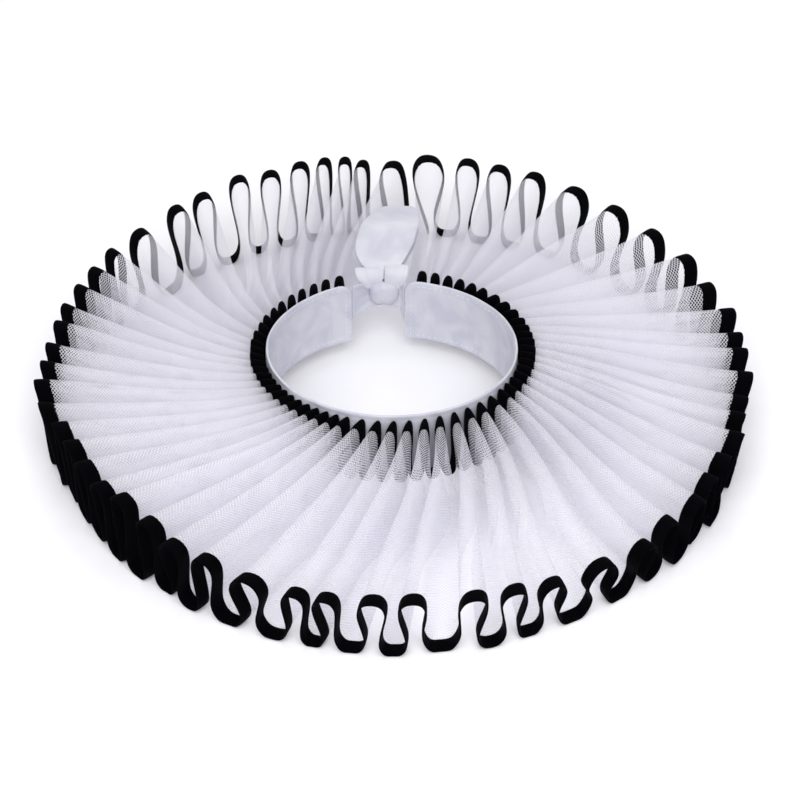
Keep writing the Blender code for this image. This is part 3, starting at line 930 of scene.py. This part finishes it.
def makeTie(name, degrees, toward):
    halfX = neckband["halfX"] + 0.5 * neckband["wall"]
    halfY = neckband["halfY"] + 0.5 * neckband["wall"]
    start = onOval(neckband["middle"], halfX, halfY, degrees)
    start.x += toward * 2.0 * bow["tieGap"]
    knot = Vector(bow["knotMiddle"])
    end = Vector((knot.x - toward * (bow["knotHalf"][0] + bow["tieGap"]), knot.y, 0.0))
    stations = []
    for share, half, height, bulge in bow[name]:
        point = start.lerp(end, share)
        point.z = height
        stations.append((point, half, bulge))
    # the ribbon narrows and goes on to the middle of the knot, out of sight
    inKnot = Vector((knot.x, knot.y, stations[-1][0].z))
    stations.append((inKnot, bow["knotShare"] * stations[-1][1], 0.0))
    return ribbonSheet(name, stations, Vector((0.0, 0.0, 1.0)), Vector((0.0, 1.0, 0.0)), "last")


# The knot: the ribbon wraps over and round it, so its folds run up and over, leaning a little.
knotFolds = {
    "sides": 40,
    "rings": 28,
    "square": 0.18,         # how far its four corners stand out
    "size": 0.97,
    "depth": 0.045,
    "waves": 7.0,
    "lean": 1.1,
    "shift": 0.4,
    "uneven": 0.03,
    "unevenWaves": 2.1,
}


def makeKnot():
    knot = bmesh.new()
    sides, rings = knotFolds["sides"], knotFolds["rings"]
    bmesh.ops.create_uvsphere(knot, u_segments=sides, v_segments=rings, radius=1.0)
    middle = Vector(bow["knotMiddle"])
    half = Vector(bow["knotHalf"])
    cloth = knot.loops.layers.uv.new("cloth")
    for face in knot.faces:
        for loop in face.loops:
            at = loop.vert.co
            loop[cloth].uv = (math.atan2(at.y, at.z) * half.z, at.x * half.x)
    for vert in knot.verts:
        x, y, z = vert.co
        square = 1.0 + knotFolds["square"] * abs(x * z)
        wrap = knotFolds["lean"] * math.atan2(y, z)
        wave = math.cos(knotFolds["waves"] * x + wrap + knotFolds["shift"])
        folds = knotFolds["depth"] * wave * (1.0 - x * x)
        spot = Vector([place * knotFolds["unevenWaves"] for place in (x, y, z)])
        folds += knotFolds["uneven"] * noise.noise(spot)
        size = square * (knotFolds["size"] + folds)
        vert.co = middle + Vector((x * half.x * square, y * half.y * size, z * half.z * size))
    bmesh.ops.recalc_face_normals(knot, faces=knot.faces)
    return finishPiece("tieKnot", knot, satinCloth)


loop, loopLength, loopWidth = makeBowPiece("bowLoop", "loop", "both")
tail, tailLength, tailWidth = makeBowPiece("bowTail", "tail", "first")
foldLeft, foldLeftLength, foldLeftWidth = makeBowPiece("bowFoldLeft", "foldLeft", "first")
foldRight, foldRightLength, foldRightWidth = makeBowPiece("bowFoldRight", "foldRight", "first")
tieLeft, tieLeftLength, tieLeftWidth = makeTie("tieLeft", neckband["end"], 1.0)
tieRight, tieRightLength, tieRightWidth = makeTie("tieRight", neckband["start"], -1.0)
knot = makeKnot()
print("bow made")


# Each piece, its slot and the solids that it stands for. All of them ride on the one body.
standsFor = (
    (net, "net", ("ruffle_net",)),
    (rimRibbon, "velvet", ("rim_ribbon",)),
    (neckRibbon, "velvet", ("neck_ribbon",)),
    (band, "satin", ("neckband",)),
    (bandStitches, "satin", ()),
    (loop, "satin", ("bow_loop",)),
    (tail, "satin", ("bow_tail",)),
    (foldLeft, "satin", ("bow_fold_left",)),
    (foldRight, "satin", ("bow_fold_right",)),
    (tieLeft, "satin", ("tie_left",)),
    (tieRight, "satin", ("tie_right",)),
    (knot, "satin", ("tie_knot",)),
)
for piece, slotName, nodes in standsFor:
    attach(piece, "root")
    if nodes:
        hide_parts(*nodes)


# The set: a plain white floor, soft light all round, a box above the front, one over the floor behind.
studio = {
    "floorSize": 3.0,
    "floorDrop": 0.0001,
    "floor": "#FAFAFC",
    "floorShade": "#F8F8FA",
    "floorGrain": 0.025,
    "air": "#FCFBFF",
    "airStrength": 0.69,
    "lights": (
        # name, place, aims at, size, watts
        ("frontBox", (0.0, -0.70, 0.74), (0.0, -0.12, 0.02), 0.8, 7.3),
        ("backBox", (0.0, 1.50, 1.30), (0.0, 0.80, 0.0), 1.4, 8.8),
    ),
    "cameraDistance": 1.000,
    "cameraElevation": 38.5,
    "cameraTarget": (0.00205, -0.0122, 0.0200),
    "lens": 92.8,
    "sensor": 36.0,
    "netLayers": 10,        # that light passes before it counts as blocked
    "throughBounces": 6,    # through threads, past which nothing shows
}


# Matt white paper with a very faint grain.
def floorMaterial():
    material, tree, shader = startMaterial("mattWhitePaper", {"Specular IOR Level": 0.2})
    spot = addNode(tree, "ShaderNodeTexCoord").outputs["Object"]
    grain = addNode(tree, "ShaderNodeTexNoise", {
        "Scale": 1.0 / studio["floorGrain"], "Detail": 3.0,
    }, {"Vector": spot})
    tree.links.new(mixColours(tree, grain.outputs["Fac"], studio["floor"], studio["floorShade"]),
                   shader.inputs["Base Color"])
    rough = addNode(tree, "ShaderNodeMapRange", {
        "To Min": 0.85, "To Max": 0.95,
    }, {"Value": grain.outputs["Fac"]})
    tree.links.new(rough.outputs["Result"], shader.inputs["Roughness"])
    return material


def aimAt(thing, target):
    thing.rotation_mode = "QUATERNION"
    thing.rotation_quaternion = (Vector(target) - thing.location).to_track_quat("-Z", "Y")


def buildStudio():
    floor = bmesh.new()
    bmesh.ops.create_grid(floor, x_segments=1, y_segments=1, size=studio["floorSize"])
    stage = finishPiece("floor", floor, floorMaterial())
    stage.location.z = -studio["floorDrop"]
    world = bpy.data.worlds.new("softAir")
    world.use_nodes = True
    background = world.node_tree.nodes["Background"]
    background.inputs["Color"].default_value = linearColour(studio["air"])
    background.inputs["Strength"].default_value = studio["airStrength"]
    bpy.context.scene.world = world
    for name, place, target, size, watts in studio["lights"]:
        lamp = bpy.data.lights.new(name, "AREA")
        lamp.shape = "DISK"
        lamp.size = size
        lamp.energy = watts
        holder = bpy.data.objects.new(name, lamp)
        bpy.context.scene.collection.objects.link(holder)
        holder.location = place
        aimAt(holder, target)
    lens = bpy.data.cameras.new("camera")
    lens.lens = studio["lens"]
    lens.sensor_width = studio["sensor"]
    camera = bpy.data.objects.new("camera", lens)
    bpy.context.scene.collection.objects.link(camera)
    tilt = math.radians(studio["cameraElevation"])
    target = Vector(studio["cameraTarget"])
    wayBack = Vector((0.0, -math.cos(tilt), math.sin(tilt)))
    camera.location = target + wayBack * studio["cameraDistance"]
    aimAt(camera, target)
    scene = bpy.context.scene
    scene.camera = camera
    scene.view_settings.view_transform = "Standard"
    scene.cycles.transparent_max_bounces = studio["netLayers"]
    scene.cycles.transmission_bounces = studio["throughBounces"]


buildStudio()
print("studio set")
